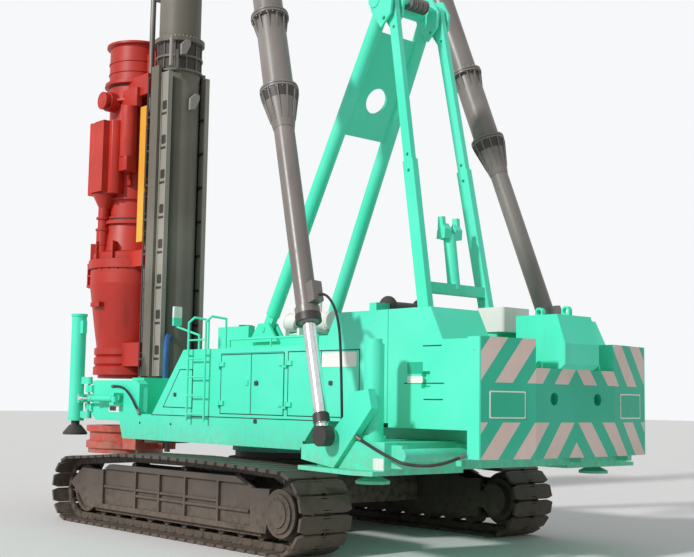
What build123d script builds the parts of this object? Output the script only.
from build123d import *
import os
from math import sin, cos, atan2

# Pile driver rig: tracked base, slewing upper works, gantry, two back stays and a leader
# that guides a diesel hammer. Millimetres, +X to the leader, +Y to the left, +Z up.
# The ground is z = 0 and the slewing axis stands on x = 0, y = 0.

# Tracks
track_half_gauge = 1974
shoe_width = 820
shoe_count = 60
shoe_thickness = 45
shoe_groove = 22
groove_share = 0.03
shoe_overlap = 8
chain_width = 300
chain_depth = 90
sprocket_x = -2580
sprocket_rim = 530
idler_x = 2620
idler_rim = 500
roller_radius = 105
roller_count = 10
roller_pitch = 440
carrier_radius = 70
belt_bend = 48
carrier_table = (
    # x, height of the shoes' inner faces over the roller
    (-1450, 1053),
    (-150, 1073),
    (1150, 1058),
)
hub_radius = 225
frame_half_width = 280
frame_low = 400
frame_high = 700
frame_half_length = 2250
frame_plate_inner = 200
frame_foot = 255
frame_top = 920
pocket_depth = 45
rib_half = 22
rib_places = (1790, 860, 230, -420, -1200, -1950)
carrier_gap = 3

# Base and slewing ring
carbody_half_length = 1000
carbody_half_width = 950
carbody_low = 480
carbody_high = 1000
ring_radius = 920
ring_split = 1160
bearing_gap = 0.3

# Deck of the upper works
deck_half_width = 1600
deck_low = 1280
deck_high = 1670
deck_front = 2350
deck_lip = 2600
deck_nose = 3200
nose_low = 1550
tail_half_width = 1000
tail_end = -5050
tail_high = 1600

# Housings
wall = 40
house_inner = 640
module_inner = 760
house_front_low = 1500
house_front_high = 680
house_rear = -2560
house_high = 2650
cover_gap = 0.3
door_thickness = 40
door_gap = 6
mirror_place = (1135, 1440, 3180)
door_low = 1720
door_high = 2570
hinge_pin = 9
running_gap = 0.05

# Rear module over the tail
module_front = house_rear - cover_gap
module_split = -3760
module_low = tail_high + 20
module_high = 3050
module_shoulder = 2660
module_rear = -5056

# Counterweight
weight_front = module_rear - cover_gap
weight_side_rear = -5240
weight_rear = -5360
weight_flat_half = 760
weight_low = 1300
weight_high = 2680
weight_middle_high = 2345
weight_block_half = 330
weight_block_high = 3000
lug_hole = 36

# Gantry
girder_inner = 500
girder_outer = 620
girder_high = 2850
gantry_foot_x = -80
gantry_foot_z = 2980
gantry_top_x = -2330
gantry_top_z = 7450
gantry_half_low = 600
gantry_half_high = 430
leg_radius = 105
head_axle_x = gantry_top_x - 240
head_axle_z = gantry_top_z + 110
link_foot_x = -3430
link_foot_z = 3020
sheave_radius = 230
cradle_high = 4180

# Leader, its foot pin and its fittings
leader_x = 3500
leader_radius = 375
leader_wall = 14
leader_low = 1150
leader_joint = 8330
leader_section = 6000
leader_top = 25600
foot_pin_x = 2950
foot_pin_z = 1800
foot_pin_radius = 70
guide_x = 3960
guide_half = 300
guide_radius = 51
guide_low = 960
shoe_clearance = 0.8
flange_reach = 75

# Back stays
stay_top = (3150, 600, 21400)
stay_eye = (-3630, 2500, 1520)
rod_radius = 82
barrel_radius = 135
barrel_bore = 84
gland_at = 1430
cone_at = 4150
lower_flange_at = 4735
upper_flange_at = 5920
tube_radius = 200
tube_wall = 16
rod_end_at = 2500
bore_end_at = 3900
yoke_pin = 50

# Hammer and pile cap
hammer_x = 4880
cap_radius = 720
cap_low = 920
cap_high = 1410

# Jacks
front_arm_x = 3420
front_arm_y = 1625
front_post_x = 3620
front_post_y = 1745
front_post_radius = 122
front_post_low = 1530
front_post_high = 3310
rear_jack_x = -4050
rear_jack_y = 2100
rear_jack_radius = 118
rear_jack_high = 2600
jack_rod = 70
float_radius = 200
swing_base = (2420, 1720, 1900)
swing_eye = (3420, 1790, 1900)
outrigger_low = 1100
outrigger_high = 1470

# Cab
cab_rear = 560
cab_front = 2280
cab_inner = -660
cab_outer = -1600
cab_low = 1300
cab_high = 3000
cab_wall = 50

LEFT, RIGHT = 1, -1


def box(x0, x1, y0, y1, z0, z1):
    """A block between two corners."""
    size = Box(abs(x1 - x0), abs(y1 - y0), abs(z1 - z0))
    return Pos((x0 + x1) / 2, (y0 + y1) / 2, (z0 + z1) / 2) * size


def side_plate(points, y0, y1):
    """A plate whose outline is given in x and z, between two y."""
    outline = Polyline(*[Vector(x, min(y0, y1), z) for x, z in points], close=True)
    return extrude(make_face(outline), amount=abs(y1 - y0), dir=(0, 1, 0))


def plan_plate(points, z0, z1):
    """A plate whose outline is given in x and y, between two z."""
    outline = Polyline(*[Vector(x, y, min(z0, z1)) for x, y in points], close=True)
    return extrude(make_face(outline), amount=abs(z1 - z0), dir=(0, 0, 1))


def bar(start, end, radius):
    """A round bar from one point to another."""
    a, b = Vector(*start), Vector(*end)
    plane = Plane(origin=a, z_dir=(b - a).normalized())
    return plane * Cylinder(radius, (b - a).length, align=(Align.CENTER, Align.CENTER, Align.MIN))


def cross_bar(x, z, radius, y0, y1):
    """A round bar along Y."""
    return bar((x, min(y0, y1), z), (x, max(y0, y1), z), radius)


def post(x, y, radius, z0, z1):
    """A round post along Z."""
    return bar((x, y, min(z0, z1)), (x, y, max(z0, z1)), radius)


def beam(start, end, width, depth):
    """A rectangular beam between two points, its width across Y."""
    a, b = Vector(*start), Vector(*end)
    run = (b - a).normalized()
    plane = Plane(origin=(a + b) / 2, x_dir=Vector(0, 1, 0) - run * run.Y, z_dir=run)
    return plane * Box(width, depth, (b - a).length)


def turned(profile, x, y):
    """A turned piece about a vertical axis, from radius and height pairs."""
    outline = Polyline(*[Vector(x + r, y, z) for r, z in profile], close=True)
    return revolve(make_face(outline), Axis((x, y, 0), (0, 0, 1)), 360)


def on_side(shape, side):
    """The shape as drawn for the left side, or its twin on the right."""
    return shape if side == LEFT else mirror(shape, about=Plane.XZ)


def save(name, shape):
    export_step(shape, f"parts/{name}.step")


# Tracks


def track_line():
    """The line that the shoes' inner faces follow: a belt round the end wheels and carriers."""
    wheels = [(sprocket_x, sprocket_rim, sprocket_rim - shoe_thickness),
              (idler_x, idler_rim, idler_rim - shoe_thickness)]
    for x, height in carrier_table:
        wheels.append((x, height - belt_bend, belt_bend))
    with BuildSketch() as belt:
        for x, z, radius in wheels:
            with Locations((x, z)):
                Circle(radius)
        make_hull()
    return belt.sketch


def shoe_outline(line, outward):
    """Outer outline of the shoes: flat treads with a narrow groove between each two."""
    pitch = 1.0 / shoe_count
    half_groove = groove_share / 2
    points = []
    for shoe in range(shoe_count):
        for share, height in ((groove_share, shoe_thickness), (1 - groove_share, shoe_thickness),
                              (1 - half_groove, shoe_groove), (1 + half_groove, shoe_groove)):
            along = ((shoe + share) * pitch) % 1.0
            place = line.position_at(along)
            run = line.tangent_at(along)
            lift = outward * height
            points.append(Vector(place.X + lift * run.Y, place.Y - lift * run.X, 0))
    return make_face(Polyline(*points, close=True))


def track_loop():
    """One fixed loop of flat shoes on a chain, drawn about its own centre line."""
    belt = track_line()
    line = belt.face().outer_wire()
    start, run = line.position_at(0), line.tangent_at(0)
    middle = Vector(0, sprocket_rim, 0)
    side_step = Vector(run.Y, -run.X, 0)
    outward = 1 if (start - middle).dot(side_step) > 0 else -1
    inner = offset(belt, amount=-shoe_overlap)
    core = offset(belt, amount=-chain_depth)
    band = extrude(shoe_outline(line, outward) - inner, amount=shoe_width / 2, both=True)
    chain = extrude(belt - core, amount=chain_width / 2, both=True)
    upright = Plane(origin=(0, track_half_gauge, 0), x_dir=(1, 0, 0), z_dir=(0, -1, 0))
    return upright * (band + chain)


def chain_inner_z():
    """Height of the chain's lower run, where the rollers bear."""
    return shoe_thickness + chain_depth + bearing_gap


def frame_plate():
    """Outline of a side frame's outer plates, stepped down at both ends."""
    half = frame_half_length
    return [(half - 50, frame_foot), (half + 510, 590), (half + 150, 830), (half - 450, 825),
            (half - 650, frame_top), (650 - half, frame_top + 10), (300 - half, 800),
            (-half - 70, 810), (-half - 10, frame_foot)]


def track_frame():
    """The side frame with its ribs, its bottom rollers and its carrier rollers."""
    y = track_half_gauge
    half = frame_half_width
    skin = frame_plate_inner
    frame = box(-frame_half_length, frame_half_length, y - skin - 5, y + skin + 5, frame_low,
                frame_high)
    for edge in (-1, 1):
        plate = side_plate(frame_plate(), y + edge * skin, y + edge * half)
        if edge == 1:
            for high_x, low_x in zip(rib_places, rib_places[1:]):
                plate -= box(low_x + rib_half, high_x - rib_half, y + half - pocket_depth,
                             y + half + 10, frame_foot + 70, frame_top - 70)
        frame += plate
    for z, front, rear in ((585, 1750, -1200), (500, 900, -1880)):
        frame += bar((rear, y + half - 26, z), (front, y + half - 26, z), 22)
    skirt_z = shoe_thickness + chain_depth + roller_radius - 40
    for edge in (-1, 1):
        inner = y + edge * (chain_width / 2 + 25)
        frame += box(-2080, 2080, inner, inner + edge * 35, skirt_z, frame_low + 5)
    roller_z = chain_inner_z() + roller_radius
    first = -roller_pitch * (roller_count - 1) / 2
    for index in range(roller_count):
        x = first + index * roller_pitch
        frame += cross_bar(x, roller_z, roller_radius, y - 130, y + 130)
        frame += cross_bar(x, roller_z, 34, y - chain_width / 2 - 30, y + chain_width / 2 + 30)
    for x, height in carrier_table:
        z = height - chain_depth - carrier_radius - carrier_gap
        frame += cross_bar(x, z, carrier_radius, y - 120, y + 120)
        frame += box(x - 60, x + 60, y - 60, y + 60, frame_high - 40, z)
    for edge in (-1, 1):
        frame += box(frame_half_length - 10, idler_x + 70, y + edge * (half - 100),
                     y + edge * (half - 40), 440, 560)
        frame += box(20 - frame_half_length, sprocket_x + 120, y + edge * (half - 90),
                     y + edge * half, 400, 640)
    frame -= cross_bar(sprocket_x, sprocket_rim, hub_radius + bearing_gap, y - 500, y + 500)
    chain_clear = shoe_thickness + chain_depth
    frame -= cross_bar(sprocket_x, sprocket_rim, sprocket_rim - chain_clear + 12, y - 75, y + 75)
    frame -= cross_bar(sprocket_x, sprocket_rim, 300 + carrier_gap, y - 190, y + 190)
    frame -= cross_bar(idler_x, idler_rim, idler_rim - chain_clear + 12, y - 85, y + 85)
    return frame


def end_wheels():
    """Sprocket with its round drive cover at the rear, spoked idler at the front."""
    y = track_half_gauge
    chain_clear = shoe_thickness + chain_depth + 3
    rear_radius = sprocket_rim - chain_clear
    sprocket = cross_bar(sprocket_x, sprocket_rim, rear_radius, y - 60, y + 60)
    sprocket += cross_bar(sprocket_x, sprocket_rim, 300, y - 180, y + 180)
    side = frame_half_width
    sprocket += cross_bar(sprocket_x, sprocket_rim, hub_radius, y - side - 20, y + side + 60)
    sprocket += cross_bar(sprocket_x, sprocket_rim, 300, y + side + 6, y + side + 34)
    sprocket += cross_bar(sprocket_x, sprocket_rim, 240, y + side, y + side + 66)
    sprocket += cross_bar(sprocket_x, sprocket_rim, 170, y, y + side + 85)
    front_radius = idler_rim - chain_clear
    idler = cross_bar(idler_x, idler_rim, front_radius, y - 70, y + 70)
    idler -= cross_bar(idler_x, idler_rim, front_radius - 60, y + 35, y + 80)
    idler -= cross_bar(idler_x, idler_rim, front_radius - 60, y - 80, y - 35)
    idler += cross_bar(idler_x, idler_rim, 60, y - side + 100 + bearing_gap,
                       y + side - 100 - bearing_gap)
    return sprocket, idler


def carbody():
    """Centre box, two axle beams to the side frames, and the fixed half of the ring."""
    half = carbody_half_width
    body = box(-carbody_half_length, carbody_half_length, -half, half, carbody_low, carbody_high)
    reach = track_half_gauge - frame_half_width - bearing_gap
    for x in (-760, 760):
        body += side_plate([(x - 240, 420), (x + 240, 420), (x + 240, 690), (x + 150, 900),
                            (x - 150, 900), (x - 240, 690)], -reach, reach)
    body += post(0, 0, ring_radius + 60, carbody_high, carbody_high + 60)
    body += post(0, 0, ring_radius - 40, carbody_high, ring_split)
    return body


# Deck


def deck_frame():
    """Main slab with its stepped nose and narrow tail, over the moving half of the ring."""
    side = [(-2100, deck_low), (deck_front, deck_low), (deck_front + 110, nose_low),
            (deck_lip, nose_low), (deck_lip, deck_high), (-2440, deck_high)]
    deck = side_plate(side, -deck_half_width, deck_half_width)
    deck -= box(cab_rear - 30, 2700, cab_inner + 30, -deck_half_width - 10, deck_low - 10,
                deck_high + 10)
    deck += box(cab_rear - 60, 2300, cab_inner + 20, cab_inner + 60, deck_low, deck_high)
    deck += box(cab_rear - 40, cab_front - 100, cab_outer + 30, cab_inner + 30, deck_low,
                cab_low - bearing_gap)
    deck += box(-2000, tail_end, -tail_half_width, tail_half_width, deck_low, tail_high)
    deck += post(0, 0, ring_radius, ring_split + bearing_gap, deck_low + 20)
    return deck


def front_bracket():
    """Nose of the deck: two side cheeks, a rising middle and the ears of the foot pin."""
    cheek = [(1880, deck_high + cover_gap), (deck_lip + cover_gap, deck_high + cover_gap), (deck_lip + cover_gap, nose_low), (deck_nose, nose_low), (3345, 1640), (3345, 2190), (3250, 2200), (2000, 2200), (1880, 2140)]
    hump = [(1600, deck_high + cover_gap), (2720, deck_high + cover_gap), (2720, 2290), (2420, 2330),
            (1600, 2330)]
    bracket = None
    for side in (LEFT, RIGHT):
        outer = side_plate(cheek, deck_half_width - 160, deck_half_width)
        if side == RIGHT:
            outer -= box(1500, cab_front + 60, 1400, 1700, 1600, 2400)
        outer += side_plate([(deck_lip + cover_gap, 1600), (3300, 1600), (3300, 2150), (deck_lip + cover_gap, 2150)], 1000,
                            deck_half_width - 120)
        outer += side_plate([(2400, deck_high + cover_gap), (2760, deck_high + cover_gap), (2760, 2250),
                             (2400, 2250)], 320, 1200)
        outer += side_plate([(deck_lip + cover_gap, 1560), (2980, 1560), (3080, 1700), (3080, 1900), (2980, 2010),
                             (deck_lip + cover_gap, 2200)], 310, 400)
        outer = on_side(outer, side)
        bracket = outer if bracket is None else bracket + outer
    bracket += side_plate(hump, -480, 480) - side_plate(
        [(1700, deck_high + 60), (2500, deck_high + 60), (2500, 2400), (1700, 2400)], -400, 400)
    bracket += box(2480, 2700, -400, 400, deck_high + cover_gap, 2200)
    bracket += box(deck_lip + cover_gap, 2700, -400, 400, 1560, 2200)
    for side in (LEFT, RIGHT):
        for z in (1760, 2060):
            bracket += post(front_arm_x, side * front_arm_y, 60, z - 60, z + 60)
            bracket += box(3300, front_arm_x, side * 1500, side * (front_arm_y + 20), z - 60, z + 60)
    for side in (LEFT, RIGHT):
        bracket -= post(front_arm_x, side * front_arm_y, 25 + running_gap, 1600, 2200)
    pin_bore = cross_bar(foot_pin_x, foot_pin_z, foot_pin_radius, -430, 430)
    bracket += pin_bore
    for side in (LEFT, RIGHT):
        lugs = box(swing_base[0] - 70, swing_base[0] + 60, 1590, swing_base[1] + 60,
                   swing_base[2] - 95, swing_base[2] - 55)
        lugs += box(swing_base[0] - 70, swing_base[0] + 60, 1590, swing_base[1] + 60,
                    swing_base[2] + 55, swing_base[2] + 95)
        lugs += post(swing_base[0], swing_base[1], 22, swing_base[2] - 95, swing_base[2] + 95)
        if side == LEFT:
            bracket += lugs
        else:
            bracket += on_side(lugs, side)
    return bracket


# Housings and doors

door_table = (
    # name, side, hinge edge x, free edge x
    ("door_left_front", LEFT, -300, -1010),
    ("door_left_middle", LEFT, -1730, -1020),
    ("door_left_rear", LEFT, -1830, -2500),
    ("door_right", RIGHT, -1730, -900),
)


def house_outline(side):
    """Outline of a housing in x and z; the left one slants down to the front."""
    front_low = house_front_low if side == LEFT else cab_rear - 60
    front_high = house_front_high if side == LEFT else cab_rear - 120
    return [(house_rear, deck_high + cover_gap), (front_low, deck_high + cover_gap),
            (front_high, house_high), (house_rear, house_high)]


def house(side):
    """A hollow engine-side housing with door openings, open to the deck below."""
    outline = house_outline(side)
    front_low, front_high = outline[1][0], outline[2][0]
    inner = [(house_rear + wall, deck_high - 5), (front_low - wall * 1.3, deck_high - 5),
             (front_high - wall, house_high - wall), (house_rear + wall, house_high - wall)]
    shell = side_plate(outline, house_inner, deck_half_width)
    shell -= side_plate(inner, house_inner + wall, deck_half_width - wall)
    for _, door_side, hinge_x, free_x in door_table:
        if door_side != side:
            continue
        low, high = min(hinge_x, free_x), max(hinge_x, free_x)
        shell -= box(low - door_gap, high + door_gap, deck_half_width - wall - 5,
                     deck_half_width + 5, door_low - door_gap, door_high + door_gap)
    for _, door_side, hinge_x, free_x in door_table:
        if door_side != side:
            continue
        inward = 1 if free_x > hinge_x else -1
        pin_x = hinge_x - inward * (door_gap + 12)
        for z in (door_low + 150, door_high - 150):
            shell += box(pin_x - inward * 30, pin_x + inward * 8, deck_half_width - 5,
                         deck_half_width + 34, z - 60, z - 31)
            shell += post(pin_x, deck_half_width + 22, hinge_pin, z - 60, z + 30)
    return on_side(shell, side)


def door(side, hinge_x, free_x):
    """A door leaf that fills its opening, with the knuckles that turn on the hinge pins."""
    inward = 1 if free_x > hinge_x else -1
    pin_x = hinge_x - inward * (door_gap + 12)
    leaf = box(hinge_x, free_x, deck_half_width - door_thickness, deck_half_width, door_low,
               door_high)
    for z in (door_low + 150, door_high - 150):
        knuckle = post(pin_x, deck_half_width + 22, 18, z - 30, z + 30)
        knuckle += box(pin_x, hinge_x + inward * 90, deck_half_width + 8, deck_half_width + 26,
                       z - 30, z + 30)
        knuckle += box(hinge_x + inward * 30, hinge_x + inward * 90, deck_half_width - 5,
                       deck_half_width + 26, z - 30, z + 30)
        leaf += knuckle
    for z in (door_low + 150, door_high - 150):
        leaf -= post(pin_x, deck_half_width + 22, hinge_pin + running_gap, z - 70, z + 40)
    handle_x = free_x - inward * 90
    leaf += box(handle_x - 35, handle_x + 35, deck_half_width - 2, deck_half_width + 14, 2120, 2200)
    return on_side(leaf, side)


def rear_modules():
    """Tall closed modules left and right over the tail, with chamfered ends."""
    outline = [(module_front, deck_high + cover_gap), (module_front, house_high),
               (module_front - 230, module_high), (-4470, module_high),
               (-4670, module_shoulder), (module_rear, module_shoulder),
               (module_rear, module_low), (module_split, module_low),
               (module_split, deck_high + cover_gap)]
    module = side_plate(outline, module_inner, deck_half_width)
    module -= box(module_split - 14, module_split + 14, deck_half_width - 12, 1700, 1500, 3200)
    module -= box(-4330, -4470, deck_half_width - 60, 1700, 2090, 2290)
    return module, on_side(module, RIGHT)


def counterweight():
    """Faceted casting with end blocks, a lower middle, a centre block and lifting lugs."""
    plan = [(weight_front, deck_half_width), (weight_side_rear, deck_half_width),
            (weight_rear, weight_flat_half), (weight_rear, -weight_flat_half),
            (weight_side_rear, -deck_half_width), (weight_front, -deck_half_width)]
    weight = plan_plate(plan, weight_low, weight_high)
    weight -= box(weight_front + 10, weight_rear - 10, -weight_flat_half, weight_flat_half,
                  weight_middle_high, weight_high + 10)
    half = weight_block_half
    block = [(weight_front - 1, weight_middle_high - 5), (weight_front - 1, module_low + 500),
             (-4700, module_low + 500), (-4700, weight_block_high), (-5330, weight_block_high),
             (weight_rear - 90, 2650), (weight_rear - 90, weight_middle_high + 60),
             (weight_rear, weight_middle_high - 5)]
    weight += side_plate(block, -half, half)
    for x in (-4810, -5220):
        ear = box(x - 60, x + 60, -30, 30, weight_block_high - 5, weight_block_high + 60)
        ear += cross_bar(x, weight_block_high + 60, 60, -30, 30)
        weight += ear
        weight -= cross_bar(x, weight_block_high + 60, lug_hole, -40, 40)
    for y in (-560, 560):
        ear = box(-5290, -5210, y - 15, y + 15, weight_middle_high - 5, weight_middle_high + 45)
        ear += cross_bar(-5250, weight_middle_high + 45, 40, y - 15, y + 15)
        ear -= cross_bar(-5250, weight_middle_high + 45, 20, y - 20, y + 20)
        weight += ear
    for y in (-420, 420):
        weight -= bar((weight_rear - 10, y, 1990), (weight_rear + 90, y, 1990), 75)
    return weight


# Gantry


def gantry_base():
    """Two girders between the housings that carry the gantry, and the cradle post."""
    base = None
    foot_low = deck_high + bearing_gap
    for side in (LEFT, RIGHT):
        front = 1250 if side == LEFT else 400
        girder = side_plate([(tail_end + 700, tail_high + bearing_gap), (-2480, tail_high + bearing_gap),
                             (-2480, foot_low), (front, foot_low), (front, 2650),
                             (front - 180, girder_high), (-4000, girder_high),
                             (tail_end + 700, 2400)], girder_inner, girder_outer)
        for x in (-3100, -1500, -200):
            girder -= box(x - 260, x + 260, girder_inner - 5, girder_outer + 5, 1950, 2400)
        girder = on_side(girder, side)
        base = girder if base is None else base + girder
    for x in (-3700, -1900, -400):
        base += box(x - 60, x + 60, -girder_inner - 5, girder_inner + 5, 2640, 2760)
    for side in (LEFT, RIGHT):
        for edge in (-1, 1):
            y = side * (gantry_half_low + edge * 75)
            base += side_plate([(-420, girder_high - 60), (260, girder_high - 60),
                                (40, gantry_foot_z + 90), (-200, gantry_foot_z + 90)],
                               y - 20, y + 20)
            base += side_plate([(link_foot_x - 230, girder_high - 60),
                                (link_foot_x + 230, girder_high - 60),
                                (link_foot_x + 90, link_foot_z + 90),
                                (link_foot_x - 90, link_foot_z + 90)], y - 20, y + 20)
        base += cross_bar(gantry_foot_x, gantry_foot_z, 45, side * (gantry_half_low - 110),
                          side * (gantry_half_low + 110))
        base += cross_bar(link_foot_x, link_foot_z, 40, side * (gantry_half_low - 110),
                          side * (gantry_half_low + 110))
    base += beam((1180, 560, 2890), (380, 560, 2890), 120, 330)
    return base


def gantry_legs():
    """Two tubular front legs, tied by a plate with a round hole."""
    legs = None
    for side in (LEFT, RIGHT):
        low = Vector(gantry_foot_x, side * gantry_half_low, gantry_foot_z)
        high = Vector(gantry_top_x, side * gantry_half_high, gantry_top_z)
        run = (high - low).normalized()
        leg = bar(tuple(low + run * 230), tuple(high), leg_radius)
        leg += beam(tuple(low - run * 60), tuple(low + run * 280), 90, 170)
        leg -= cross_bar(gantry_foot_x, gantry_foot_z, 46, side * 400, side * 800)
        legs = leg if legs is None else legs + leg
    mid_low = 0.63
    mid_high = 0.94
    run = Vector(gantry_top_x - gantry_foot_x, 0, gantry_top_z - gantry_foot_z)
    start = Vector(gantry_foot_x, 0, gantry_foot_z)
    centre = start + run * ((mid_low + mid_high) / 2)
    plane = Plane(origin=centre, x_dir=(0, 1, 0), z_dir=run.normalized())
    plate = plane * Box(2 * gantry_half_high + 40, 40, run.length * (mid_high - mid_low))
    hole_centre = start + run * 0.745
    across = Vector(-run.Z, 0, run.X).normalized()
    hole = bar(tuple(hole_centre - across * 100), tuple(hole_centre + across * 100), 190)
    legs += plate - hole
    return legs


def gantry_links():
    """Two box-section back links, each in two joined lengths, and their tie."""
    links = None
    for side in (LEFT, RIGHT):
        foot = Vector(link_foot_x, side * gantry_half_low, link_foot_z)
        top = Vector(head_axle_x, side * (gantry_half_high + 30), head_axle_z)
        run = (top - foot).normalized()
        joint = foot + (top - foot) * 0.46
        link = beam(tuple(foot + run * 10), tuple(joint + run * 60), 100, 190)
        link += beam(tuple(joint - run * 40), tuple(top), 84, 150)
        link += cross_bar(link_foot_x, link_foot_z, 95, foot.Y - 50, foot.Y + 50)
        link -= cross_bar(link_foot_x, link_foot_z, 41, side * 400, side * 800)
        for share in (0.44, 0.49, 0.9):
            at = foot + (top - foot) * share
            link -= cross_bar(at.X, at.Z, 24, side * 300, side * 800)
        link += cross_bar(head_axle_x, head_axle_z, 75, top.Y - 42, top.Y + 42)
        link -= cross_bar(head_axle_x, head_axle_z, 41, side * 300, side * 800)
        links = link if links is None else links + link
    at = 0.09
    x = link_foot_x + (head_axle_x - link_foot_x) * at
    z = link_foot_z + (head_axle_z - link_foot_z) * at
    links += box(x - 70, x + 70, -gantry_half_low + 30, gantry_half_low - 30, z - 70, z + 70)
    links += bar((x, 0, z), (x + 100, 0, cradle_high), 85)
    links += box(x + 45, x + 155, -110, 110, cradle_high - 70, cradle_high + 30)
    for edge in (-1, 1):
        links += side_plate([(x + 25, cradle_high - 60), (x + 175, cradle_high - 60),
                             (x + 165, cradle_high + 50), (x + 75, cradle_high + 150),
                             (x + 15, cradle_high + 70)], edge * 40, edge * 170)
        links += side_plate([(x + 45, cradle_high), (x + 155, cradle_high),
                             (x + 150, cradle_high + 240), (x + 70, cradle_high + 240)],
                            edge * 110, edge * 170)
    return links


def gantry_head():
    """Head cross tube with lobed hanging plates round the links' and sheaves' axle."""
    x, z = gantry_top_x, gantry_top_z
    head = cross_bar(x, z + 100, 110, -600, 600)
    for y in (-570, -350, 350, 570):
        lobe = side_plate([(x - 330, z - 160), (x - 140, z - 330), (x + 60, z - 60),
                           (x + 130, z + 200), (x - 20, z + 330), (x - 230, z + 290),
                           (x - 360, z + 60)], y - 18, y + 18)
        lobe -= cross_bar(x - 200, z - 205, 30, y - 30, y + 30)
        head += lobe
    head += cross_bar(head_axle_x, head_axle_z, 40, -590, 590)
    return head


def gantry_sheaves():
    """Four grooved rope sheaves on the head's axle."""
    x, z = head_axle_x, head_axle_z
    sheaves = cross_bar(x, z, 70, -180, 180)
    for y in (-135, -45, 45, 135):
        sheaves += cross_bar(x, z, 85, y - 38, y + 38)
        for edge in (-1, 1):
            sheaves += cross_bar(x, z, 105, y + edge * 24, y + edge * 38)
    sheaves -= cross_bar(x, z, 40 + running_gap, -300, 300)
    return sheaves


def winch_drum(x, z, flange, core, half):
    """A grooved drum between two flanges, turning on a shaft held by the girders."""
    drum = cross_bar(x, z, core, -half, half)
    for edge in (-1, 1):
        drum += cross_bar(x, z, flange, edge * (half - 25), edge * half)
    drum -= cross_bar(x, z, 45 + running_gap, -half - 5, half + 5)
    return drum


winch_table = (
    # name, x, z, flange radius, core radius, half length
    ("winch_front", 300, 2180, 300, 200, 430),
    ("winch_rear", -2400, 3190, 190, 120, 330),
)


def winch_shafts():
    """The fixed shafts of both winches, with their bearing plates."""
    shafts = None
    for x, z, half in ((row[1], row[2], row[5]) for row in winch_table):
        shaft = cross_bar(x, z, 45, -half - 40, half + 40)
        for edge in (-1, 1):
            y0 = edge * (half + 15)
            if z > girder_high:
                shaft += box(x - 70, x + 70, y0, edge * (girder_outer - 20),
                             girder_high + bearing_gap, z + 80)
            else:
                shaft += box(x - 120, x + 120, y0, edge * (girder_inner - bearing_gap), z - 120,
                             z + 120)
        shafts = shaft if shafts is None else shafts + shaft
    return shafts


def muffler():
    """A pale exhaust box lying along the corridor on two saddles."""
    body = bar((-900, 0, 3110), (120, 0, 3110), 150)
    for x in (-840, -900 + 20):
        body += bar((x, 0, 3110), (x + 14, 0, 3110), 158)
    body += bar((100, 0, 3110), (114, 0, 3110), 158)
    body += bar((-560, 0, 3240), (-560, 0, 3420), 45)
    for x in (-800, -480):
        body += box(x - 25, x + 25, -girder_outer + 20, girder_outer - 20, 2940, 2975)
        body += box(x - 25, x + 25, -60, 60, 2940, 3110)
        for edge in (-1, 1):
            body += box(x - 25, x + 25, edge * (girder_inner + 20), edge * (girder_outer - 20),
                        girder_high + bearing_gap, 2975)
    return body


def tube_run(points, radius):
    """A bent tube through the points, round at its corners."""
    run = None
    for start, end in zip(points, points[1:]):
        piece = bar(start, end, radius) + Pos(*end) * Sphere(radius)
        run = piece if run is None else run + piece
    return run


def steps_and_rails():
    """Ladder up the left side, its hooped hand rails and the roof rail."""
    y = deck_half_width + 90
    rail = 17
    steps = None
    for x in (420, -20):
        side_rail = tube_run([(x, y, 1600), (x, y, 3040), (x - 60, y - 60, 3120),
                              (x - 150, y - 250, 3090),
                              (x - 150, y - 250, house_high + rail + bearing_gap)], rail)
        for z in (1640, 2550):
            side_rail += bar((x, deck_half_width + bearing_gap, z), (x, y, z), rail - 2)
        steps = side_rail if steps is None else steps + side_rail
    for index in range(5):
        z = 1700 + index * 270
        steps += bar((-20, y, z), (420, y, z), rail - 4)
    rail_y = deck_half_width - 110
    roof = tube_run([(-340, rail_y, house_high + rail + bearing_gap), (-340, rail_y, 2780),
                     (-2300, rail_y, 2780), (-2300, rail_y, house_high + rail + bearing_gap)], rail)
    roof += bar((-1300, rail_y, house_high + bearing_gap), (-1300, rail_y, 2780), rail - 2)
    return [steps, roof]


def mirror_set():
    """A tall mirror on a bent tube, standing on the roof edge of the left housing."""
    x, y, z = mirror_place
    foot_x = house_front_high - 40
    arm = tube_run([(foot_x, y - 90, house_high + bearing_gap), (foot_x, y - 90, z - 300),
                    (x - 15, y, z - 160)], 16)
    arm += bar((x - 15, y, z - 160), (x - 15, y, z - 100), 16)
    return arm + box(x - 35, x + 5, y - 75, y + 75, z - 145, z + 145)


def engine():
    """Closed heavy mass of the engine and pumps inside the left housing."""
    return box(-2300, -350, house_inner + wall + 120, deck_half_width - wall - 160,
               deck_high + bearing_gap, 2480)


def fuel_tank():
    """A pale tank standing on the right girder behind the gantry."""
    tank = box(-4150, -3680, -620, -60, girder_high + bearing_gap, 3170)
    return fillet(tank.edges().filter_by(Axis.Z), 50)


# Outriggers and jacks


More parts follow.
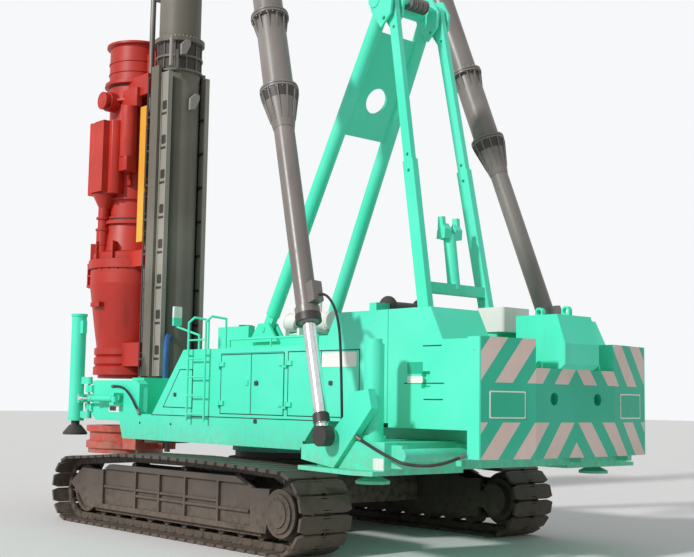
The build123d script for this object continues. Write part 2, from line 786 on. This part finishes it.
def rear_outrigger():
    """Cross box, slanted stay brackets, vertical jack barrels and extension cylinders."""
    rig = None
    plate_y = stay_eye[1] - 140
    for side in (LEFT, RIGHT):
        arm = side_plate([(-3060, 1225), (-3060, 1400), (-3460, 1430), (-3870, 1800),
                          (-3890, 2020), (-4230, 2070), (-4290, 1850), (-3650, 1150)],
                         plate_y - 110, plate_y)
        arm += cross_bar(stay_eye[0], stay_eye[2], 80, plate_y - 20, stay_eye[1] - 85)
        cross = box(-3300, -4450, tail_half_width, plate_y - 60, outrigger_low + 40,
                    outrigger_high)
        cross += plan_plate([(-3000, plate_y), (-3300, 1000), (-4450, 1000), (-4450, plate_y + 120),
                             (-4150, plate_y + 190), (-3060, plate_y + 10)],
                            outrigger_low, outrigger_low + 50)
        cross -= post(rear_jack_x, rear_jack_y, rear_jack_radius - 5, 1000, 1600)
        cross += post(rear_jack_x, rear_jack_y, rear_jack_radius, outrigger_low, rear_jack_high)
        cross += post(rear_jack_x, rear_jack_y, rear_jack_radius + 28, outrigger_high - 5, 1540)
        cross += post(rear_jack_x, rear_jack_y, rear_jack_radius - 25, rear_jack_high - 5, 2655)
        for x in (-3700, -4020):
            cross += box(x - 150, x + 150, plate_y - 100, rear_jack_y, 1400, 1440)
        cross -= post(rear_jack_x, rear_jack_y, jack_rod + running_gap, 1000, 2450)
        cross += bar((-4620, 1050, 1330), (-4620, plate_y - 150, 1330), 75)
        cross += box(-4440, -4620, plate_y - 260, plate_y - 170, 1180, 1440)
        cross += box(-4440, -4620, 1060, 1130, 1180, 1440)
        arm += cross
        arm = on_side(arm, side)
        rig = arm if rig is None else rig + arm
    rig += box(-3300, -4450, -tail_half_width - 1, tail_half_width + 1, outrigger_low + 40,
               deck_low - 0.3)
    return rig


def jack_leg(x, y, rod_top, float_top, float_low):
    """A jack's sliding rod with a dished float at its lower end."""
    leg = post(x, y, jack_rod, float_low + 40, rod_top)
    leg += turned([(0, float_low), (float_radius, float_low), (float_radius, float_low + 35),
                   (jack_rod + 25, float_top), (0, float_top)], x, y)
    return leg


def front_arm(side):
    """Swinging jack post with its hinge knuckles and the lug of its swing cylinder."""
    arm = post(front_post_x, front_post_y, front_post_radius, front_post_low, front_post_high)
    arm += post(front_post_x, front_post_y, front_post_radius + 14, front_post_high - 40,
                front_post_high)
    arm += post(front_post_x, front_post_y, front_post_radius + 14, front_post_low,
                front_post_low + 60)
    arm += box(front_post_x - 200, front_post_x - 60, front_post_y - 40, front_post_y + 40,
               front_post_high - 330, front_post_high - 120)
    for z in (1630, 1910, 2195):
        arm += post(front_arm_x, front_arm_y, 55, z - 60, z + 60)
        arm += plan_plate([(front_arm_x, front_arm_y - 30), (front_post_x, front_post_y - 60),
                           (front_post_x, front_post_y + 60), (front_arm_x, front_arm_y + 55)],
                          z - 60, z + 60)
    arm -= post(front_arm_x, front_arm_y, 40, 1500, 2300)
    arm += post(front_arm_x, front_arm_y, 25, 1572, 2250)
    for z in (1630, 1910, 2195):
        arm += post(front_arm_x, front_arm_y, 50, z - 58, z + 58)
    for low in (-70, 40):
        arm += plan_plate([(swing_eye[0] - 30, front_arm_y + 20), (swing_eye[0] + 60, front_arm_y + 20),
                           (swing_eye[0] + 30, swing_eye[1] + 30),
                           (swing_eye[0] - 30, swing_eye[1] + 30)],
                          swing_eye[2] + low, swing_eye[2] + low + 30)
    arm -= post(front_post_x, front_post_y, jack_rod + running_gap, 1500, 3150)
    return on_side(arm, side)


def swing_cylinder(side):
    """Barrel and rod of the cylinder that swings a front arm."""
    base, eye = Vector(*swing_base), Vector(*swing_eye)
    run = (eye - base).normalized()
    length = (eye - base).length
    barrel = bar(tuple(base + run * 60), tuple(base + run * (length - 330)), 48)
    barrel += bar(tuple(base + run * (length - 390)), tuple(base + run * (length - 330)), 56)
    barrel += post(base.X, base.Y, 50, base.Z - 48, base.Z + 48)
    barrel += bar(tuple(base), tuple(base + run * 100), 40)
    barrel -= post(base.X, base.Y, 22 + running_gap, base.Z - 100, base.Z + 100)
    barrel -= bar(tuple(base + run * 320), tuple(base + run * length), 24 + running_gap)
    rod = bar(tuple(base + run * 430), tuple(eye), 24)
    rod += post(eye.X, eye.Y, 42, eye.Z - 32, eye.Z + 32)
    rod -= post(eye.X, eye.Y, 22, eye.Z - 50, eye.Z + 50)
    return on_side(barrel, side), on_side(rod, side)


# Cab


def cab_shell():
    """Hollow operator's cab with window openings and the door's opening."""
    x0, x1, y0, y1 = cab_rear, cab_front, cab_outer, cab_inner
    outline = [(x0, cab_low), (x1, cab_low), (x1, 2150), (x1 - 260, cab_high), (x0, cab_high)]
    inner = [(x0 + cab_wall, cab_low + cab_wall), (x1 - cab_wall, cab_low + cab_wall),
             (x1 - cab_wall, 2140), (x1 - 260 - cab_wall * 0.8, cab_high - cab_wall),
             (x0 + cab_wall, cab_high - cab_wall)]
    cab = side_plate(outline, y0, y1)
    cab -= side_plate(inner, y0 + cab_wall, y1 - cab_wall)
    front = side_plate([(x1 - 100, 2200), (x1 + 100, 2200), (x1 - 60, 2880), (x1 - 400, 2880)],
                       y0 + 110, y1 - 110)
    cab -= front
    cab -= box(x1 - 100, x1 + 100, y0 + 110, y1 - 110, 1650, 2110)
    cab -= box(x0 + 180, x0 + 700, y1 - 100, y1 + 100, 2100, 2850)
    cab -= box(x0 + 820, x1 - 380, y1 - 100, y1 + 100, 2100, 2850)
    cab -= box(x0 - 100, x0 + 100, y0 + 160, y1 - 160, 2250, 2850)
    cab -= box(cab_door_x0 - door_gap, cab_door_x1 + door_gap, y0 - 10, y0 + cab_wall + 5,
               cab_door_low - door_gap, cab_door_high + door_gap)
    cab -= box(x0 + 100, cab_door_x0 - 90, y0 - 10, y0 + cab_wall + 5, 2150, 2850)
    for z in (cab_door_low + 180, cab_door_high - 180):
        cab += box(cab_pin_x - 10, cab_pin_x + 24, y0 - 34, y0 + 5, z - 60, z - 31)
        cab += post(cab_pin_x, y0 - 22, hinge_pin, z - 60, z + 30)
    return cab


cab_door_x0 = cab_rear + 420
cab_door_x1 = cab_front - 330
cab_door_low = cab_low + 90
cab_door_high = cab_high - 120
cab_pin_x = cab_door_x1 + door_gap + 12


def cab_door():
    """Cab door with its own window, hinged at its front edge."""
    y0 = cab_outer
    leaf = box(cab_door_x0, cab_door_x1, y0, y0 + cab_wall, cab_door_low, cab_door_high)
    leaf -= box(cab_door_x0 + 90, cab_door_x1 - 90, y0 - 10, y0 + cab_wall + 10, 2050, 2800)
    for z in (cab_door_low + 180, cab_door_high - 180):
        leaf += box(cab_door_x1 - 70, cab_pin_x, y0 - 26, y0 - 8, z - 30, z + 30)
        leaf += box(cab_door_x1 - 70, cab_door_x1 - 10, y0 - 26, y0 + 5, z - 30, z + 30)
        leaf += post(cab_pin_x, y0 - 22, 18, z - 30, z + 30)
    for z in (cab_door_low + 180, cab_door_high - 180):
        leaf -= post(cab_pin_x, y0 - 22, hinge_pin + running_gap, z - 70, z + 40)
    leaf += box(cab_door_x0 + 20, cab_door_x0 + 70, y0 - 30, y0 + 5, 1900, 2040)
    return leaf


def cab_glass():
    """Fixed panes of the cab, each set in its own opening."""
    x0, x1, y0, y1 = cab_rear, cab_front, cab_outer, cab_inner
    pane = 8
    panes = box(x1 - 40, x1 - 40 + pane, y0 + 110, y1 - 110, 1650, 2110)
    slope = side_plate([(x1 - 30, 2200), (x1 - 22, 2200), (x1 - 232, 2880), (x1 - 240, 2880)],
                       y0 + 110, y1 - 110)
    left_rear = box(x0 + 180, x0 + 700, y1 - 30, y1 - 30 + pane, 2100, 2850)
    left_front = box(x0 + 820, x1 - 380, y1 - 30, y1 - 30 + pane, 2100, 2850)
    rear = box(x0 + 20, x0 + 20 + pane, y0 + 160, y1 - 160, 2250, 2850)
    side = box(x0 + 100, cab_door_x0 - 90, y0 + 20, y0 + 20 + pane, 2150, 2850)
    return [panes, slope, left_rear, left_front, rear, side]


def cab_seat():
    """Operator's seat and control consoles on the cab floor."""
    y = (cab_inner + cab_outer) / 2
    floor = cab_low + cab_wall + bearing_gap
    seat = box(cab_rear + 300, cab_rear + 700, y - 200, y + 200, floor, floor + 250)
    seat += box(cab_rear + 260, cab_rear + 780, y - 240, y + 240, floor + 245, floor + 400)
    seat += side_plate([(cab_rear + 250, floor + 390), (cab_rear + 380, floor + 390),
                        (cab_rear + 300, floor + 1050), (cab_rear + 180, floor + 1050)],
                       y - 220, y + 220)
    for edge in (-1, 1):
        seat += box(cab_rear + 420, cab_rear + 900, y + edge * 270, y + edge * 370, floor,
                    floor + 620)
        seat += bar((cab_rear + 820, y + edge * 320, floor + 615),
                    (cab_rear + 850, y + edge * 320, floor + 800), 14)
    return seat


# Leader


def leader_section_tube(low, high, first):
    """One length of leader tube with an end flange at each joint."""
    tube = post(leader_x, 0, leader_radius, low, high)
    if not first:
        tube += post(leader_x, 0, leader_radius + flange_reach, low, low + 40)
    tube += post(leader_x, 0, leader_radius + flange_reach, high - 40, high)
    return tube


def leader_lower():
    """Lowest length of the leader with its foot lugs and rear ladder boxes."""
    tube = leader_section_tube(leader_low, leader_joint, True)
    for y in (-255, 255):
        lug = side_plate([(foot_pin_x - 120, foot_pin_z - 60), (foot_pin_x - 60, foot_pin_z - 130),
                          (leader_x - 200, foot_pin_z - 420), (leader_x - 200, foot_pin_z + 420),
                          (foot_pin_x - 60, foot_pin_z + 130), (foot_pin_x - 120, foot_pin_z + 60)],
                         y - 45, y + 45)
        tube += lug
    tube += box(foot_pin_x + 120, leader_x, -300, 300, foot_pin_z - 300, foot_pin_z + 300)
    tube -= post(leader_x, 0, leader_radius - leader_wall, leader_low - 5, leader_joint + 5)
    tube -= cross_bar(foot_pin_x, foot_pin_z, foot_pin_radius + running_gap, -400, 400)
    tube += post(leader_x, 0, leader_radius + 25, leader_low, leader_low + 40)
    return tube


def leader_upper():
    """The upper lengths of the leader, bolted end to end, with the stays' ears."""
    lows = [leader_joint + bearing_gap]
    while lows[-1] + leader_section < leader_top - 500:
        lows.append(lows[-1] + leader_section)
    tube = None
    for index, low in enumerate(lows):
        high = lows[index + 1] if index + 1 < len(lows) else leader_top
        length = leader_section_tube(low, high, False)
        tube = length if tube is None else tube + length
    x, y, z = stay_top
    tube += post(leader_x, 0, leader_radius + 45, z - 350, z + 350)
    for side in (LEFT, RIGHT):
        for edge in (-1, 1):
            ear_y = side * (y + edge * 125)
            ear = side_plate([(x - 130, z - 130), (x + 100, z - 200), (leader_x, z - 200),
                              (leader_x, z + 200), (x + 100, z + 200), (x - 130, z + 130)],
                             ear_y - 20, ear_y + 20)
            tube += ear
        for level in (z - 200, z + 160):
            web = box(leader_x - 90, leader_x + 120, side * 300, side * (y + 145), level,
                      level + 40)
            tube += web
    tube -= post(leader_x, 0, leader_radius - leader_wall, leader_joint - 5, leader_top - 40)
    for side in (LEFT, RIGHT):
        tube -= cross_bar(x, z, yoke_pin + running_gap, side * 400, side * 800)
    return tube


def leader_guides():
    """The two round guide rails for the hammer, on brackets all the way up."""
    guides = None
    for side in (LEFT, RIGHT):
        rail = post(guide_x, side * guide_half, guide_radius, guide_low, leader_top - 500)
        guides = rail if guides is None else guides + rail
    steps = 18
    for index in range(steps + 1):
        z = leader_low + 200 + index * (leader_top - 900 - leader_low) / steps
        web = box(leader_x + 260, guide_x, -guide_half + 10, guide_half - 10, z - 12, z + 12)
        web -= post(leader_x, 0, leader_radius + bearing_gap, z - 50, z + 50)
        guides += web
    return guides


def leader_fittings():
    """Side pipe runs, rear ladder and box channels that the leader carries."""
    fittings = None
    for y in (-1, 1):
        side_run = box(3380, 3620, y * 440, y * 500, 2300, leader_joint - 500)
        fittings = side_run if fittings is None else fittings + side_run
        for index in range(8):
            z = 2450 + index * 730
            fittings += box(3400, 3600, y * (leader_radius + bearing_gap), y * 445, z, z + 60)
    return fittings


def leader_head():
    """Head frame over the leader with the sheaves' cheek plates."""
    x = leader_x
    head = box(x - 420, x + 420, -300, 300, leader_top + bearing_gap, leader_top + 80)
    for y in (-260, -80, 80, 260):
        cheek = side_plate([(x - 380, leader_top + 70), (x + 380, leader_top + 70),
                            (x + 1380, leader_top + 330), (x + 1400, leader_top + 480),
                            (x + 1250, leader_top + 560), (x - 560, leader_top + 560),
                            (x - 760, leader_top + 430), (x - 720, leader_top + 300)],
                           y - 16, y + 16)
        head += cheek
    for sheave_x in (x - 500, x + 1180):
        head += cross_bar(sheave_x, leader_top + 400, 45, -290, 290)
    head += box(x - 60, x + 60, -250, 250, leader_top + 150, leader_top + 260)
    return head


def head_sheaves(sheave_x):
    """Three rope sheaves between the head's cheeks."""
    z = leader_top + 400
    sheaves = []
    for y in (-170, 0, 170):
        wheel = cross_bar(sheave_x, z, sheave_radius - 40, y - 25, y + 25)
        for edge in (-1, 1):
            wheel += cross_bar(sheave_x, z, sheave_radius, y + edge * 15, y + edge * 32)
        wheel += cross_bar(sheave_x, z, 80, y - 58, y + 58)
        wheel -= cross_bar(sheave_x, z, 45 + running_gap, y - 100, y + 100)
        sheaves.append(wheel)
    return sheaves


# Back stays


def stay_axes():
    """Unit vectors along the stay, across it in its own upright plane, and its length."""
    top, eye = Vector(*stay_top), Vector(*stay_eye)
    run = top - eye
    lean = atan2(run.X, run.Z)
    return run.normalized(), Vector(cos(lean), 0, -sin(lean)), run.length


def stay_yoke(side):
    """Cross block of the universal joint at the stay's head."""
    run, across, length = stay_axes()
    top = Vector(*stay_top)
    yoke = bar(tuple(top - Vector(0, 150, 0)), tuple(top + Vector(0, 150, 0)), yoke_pin)
    yoke += bar(tuple(top - across * 150), tuple(top + across * 150), yoke_pin)
    plane = Plane(origin=top, x_dir=across, z_dir=run)
    yoke += plane * Box(170, 170, 170)
    return on_side(yoke, side)


def stay_tube(side):
    """Fork, long tube, two bolted flanges, ribbed cone and cylinder barrel, end to end."""
    run, across, length = stay_axes()
    top, eye = Vector(*stay_top), Vector(*stay_eye)

    def at(distance):
        return tuple(eye + run * distance)

    stay = bar(at(lower_flange_at), at(length - 900), tube_radius)
    stay += bar(at(gland_at), at(lower_flange_at), barrel_radius)
    stay += bar(at(gland_at), at(gland_at + 190), barrel_radius + 20)
    base = Plane(origin=at(cone_at), z_dir=run)
    cone = base * Cone(barrel_radius + 5, 250, lower_flange_at - cone_at,
                       align=(Align.CENTER, Align.CENTER, Align.MIN))
    stay += cone
    for place in (lower_flange_at, upper_flange_at, upper_flange_at + 6000):
        stay += bar(at(place - 35), at(place + 35), 258)
    neck = Plane(origin=at(length - 900), z_dir=run)
    stay += neck * Cone(tube_radius, 110, 480, align=(Align.CENTER, Align.CENTER, Align.MIN))
    fork_plane = Plane(origin=at(length - 230), x_dir=across, z_dir=run)
    fork = Pos(0, 0, -90) * Box(250, 150, 280)
    for edge in (-1, 1):
        fork += Pos(edge * 107.5, 0, 115) * Box(35, 150, 370)
    stay += fork_plane * fork
    stay -= bar(tuple(top - across * 300), tuple(top + across * 300), yoke_pin + running_gap)
    stay -= bar(at(gland_at - 10), at(bore_end_at), barrel_bore)
    stay -= bar(at(lower_flange_at + 60), at(length - 960), tube_radius - tube_wall)
    stay += bar(at(gland_at), at(gland_at + 80), barrel_radius)
    stay -= bar(at(gland_at - 10), at(gland_at + 90), rod_radius + running_gap)
    block = Plane(origin=at(gland_at + 330), x_dir=across, z_dir=run)
    stay += block * Pos(-barrel_radius - 40, 0, 0) * Box(130, 150, 260)
    return on_side(stay, side)


def stay_rod(side):
    """Bright rod with its piston end inside the barrel and a dark eye outside."""
    run, across, length = stay_axes()
    eye = Vector(*stay_eye)

    def at(distance):
        return tuple(eye + run * distance)

    rod = bar(at(150), at(rod_end_at), rod_radius)
    rod += bar(at(40), at(170), 68)
    rod += bar(at(150), at(250), rod_radius + 16)
    head = cross_bar(eye.X, eye.Z, 120, eye.Y - 70, eye.Y + 70)
    rod += head
    rod -= cross_bar(eye.X, eye.Z, 60, eye.Y - 100, eye.Y + 100)
    return on_side(rod, side)


# Hammer

hammer_profile = (
    # radius, height
    (0, 2270), (560, 2270), (560, 2330), (650, 2330), (650, 2470), (610, 2500), (640, 2530),
    (640, 2640), (600, 2670), (640, 2700), (640, 2810), (600, 2840), (650, 3160), (765, 3990),
    (765, 4270), (800, 4270), (800, 4430), (720, 4430), (720, 4560), (620, 4600), (560, 5100),
    (620, 5100), (620, 5160), (520, 5190), (520, 7380), (610, 7400), (610, 7440), (545, 7460),
    (545, 7740), (620, 7750), (620, 7800), (545, 7820), (545, 8480), (610, 8500), (610, 8540),
    (0, 8540),
)


def hammer():
    """Diesel hammer: cylinder, ribbed lower body, side tanks and its guide claws."""
    body = turned(hammer_profile, hammer_x, 0)
    body -= box(guide_x - 500, guide_x + 115, -1000, 1000, 2200, 8700)
    body -= post(hammer_x, 0, 400, 2900, 8300)
    body += box(guide_x + 100, hammer_x - 300, -150, 150, 2500, 8300)
    for low, high in ((2480, 2900), (4270, 4560), (7420, 7800)):
        for side in (LEFT, RIGHT):
            claw = box(guide_x - 90, hammer_x - 250, side * 245, side * 420, low, high)
            claw -= post(guide_x, side * guide_half, guide_radius + shoe_clearance, low - 5, high + 5)
            claw -= box(guide_x - 100, guide_x + 70, side * 200, side * 300, low - 5, high + 5)
            body += claw
    for side in (LEFT, RIGHT):
        tank = side_plate([(4640, 5670), (5060, 5670), (5060, 6900), (4950, 6990), (4640, 6990)],
                          480, 850)
        body += on_side(tank, side)
    body += bar((hammer_x + 350, 0, 6050), (hammer_x + 840, 0, 6050), 130)
    body += bar((hammer_x - 80, 520, 7420), (hammer_x - 80, 740, 7420), 105)
    body += box(hammer_x - 200, hammer_x + 100, 560, 790, 3560, 3640)
    for angle in range(0, 360, 30):
        if 150 <= angle <= 210:
            continue
        rib = Pos(hammer_x, 0, 0) * Rot(0, 0, angle) * box(600, 775, -12, 12, 4425, 4760)
        body += rib
    return body


def pile_cap():
    """Cap that sits over the pile's head and under the hammer's anvil."""
    profile = [(0, 1130), (430, 1130), (430, cap_low), (cap_radius - 40, cap_low),
               (cap_radius - 40, 1000), (cap_radius, 1010), (cap_radius, 1130),
               (cap_radius - 60, 1150), (cap_radius - 60, 1290), (cap_radius, 1310),
               (cap_radius, cap_high), (470, cap_high), (470, 1250), (0, 1250)]
    cap = turned(profile, hammer_x, 0)
    cap -= box(guide_x - 500, guide_x + 230, -1000, 1000, 800, 1500)
    for side in (LEFT, RIGHT):
        claw = box(guide_x - 90, hammer_x - 560, side * 245, side * 420, 1010, 1380)
        claw -= post(guide_x, side * guide_half, guide_radius + shoe_clearance, 900, 1500)
        claw -= box(guide_x - 100, guide_x + 70, side * 200, side * 300, 900, 1500)
        cap += claw
    return cap


os.makedirs("parts", exist_ok=True)

loop = track_loop()
frame = track_frame()
sprocket, idler = end_wheels()
for side_name, side in (("left", LEFT), ("right", RIGHT)):
    save(f"track_{side_name}", on_side(loop, side))
    save(f"track_frame_{side_name}", on_side(frame, side))
    save(f"track_wheels_{side_name}", Compound([on_side(sprocket, side), on_side(idler, side)]))
    save(f"rear_jack_{side_name}", jack_leg(rear_jack_x, side * rear_jack_y, 2150, 1070, 985))
    save(f"front_arm_{side_name}", front_arm(side))
    save(f"front_jack_{side_name}", jack_leg(front_post_x, side * front_post_y, 2900, 1460, 1300))
    barrel, rod = swing_cylinder(side)
    save(f"swing_barrel_{side_name}", barrel)
    save(f"swing_rod_{side_name}", rod)
    save(f"stay_yoke_{side_name}", stay_yoke(side))
    save(f"stay_tube_{side_name}", stay_tube(side))
    save(f"stay_rod_{side_name}", stay_rod(side))
    save(f"house_{side_name}", house(side))
save("carbody", carbody())
save("deck_frame", deck_frame())
save("front_bracket", front_bracket())
for name, side, hinge_x, free_x in door_table:
    save(name, door(side, hinge_x, free_x))
save("rear_modules", Compound(list(rear_modules())))
save("counterweight", counterweight())
save("gantry_base", gantry_base())
save("winch_shafts", winch_shafts())
for name, x, z, flange_radius, core, half in winch_table:
    save(name, winch_drum(x, z, flange_radius, core, half))
save("gantry_legs", gantry_legs() + gantry_head())
save("gantry_links", gantry_links())
save("gantry_sheaves", gantry_sheaves())
save("muffler", muffler())
save("steps_and_rails", Compound(steps_and_rails()))
save("mirror", mirror_set())
save("engine", engine())
save("fuel_tank", fuel_tank())
save("rear_outrigger", rear_outrigger())
save("cab", cab_shell())
save("cab_door", cab_door())
save("cab_glass", Compound(cab_glass()))
save("cab_seat", cab_seat())
save("leader_lower", leader_lower())
save("leader_upper", leader_upper())
save("leader_guides", leader_guides())
save("leader_fittings", leader_fittings())
save("leader_head", leader_head())
save("head_sheaves_rear", Compound(head_sheaves(leader_x - 500)))
save("head_sheaves_front", Compound(head_sheaves(leader_x + 1180)))
save("hammer", hammer())
save("pile_cap", pile_cap())
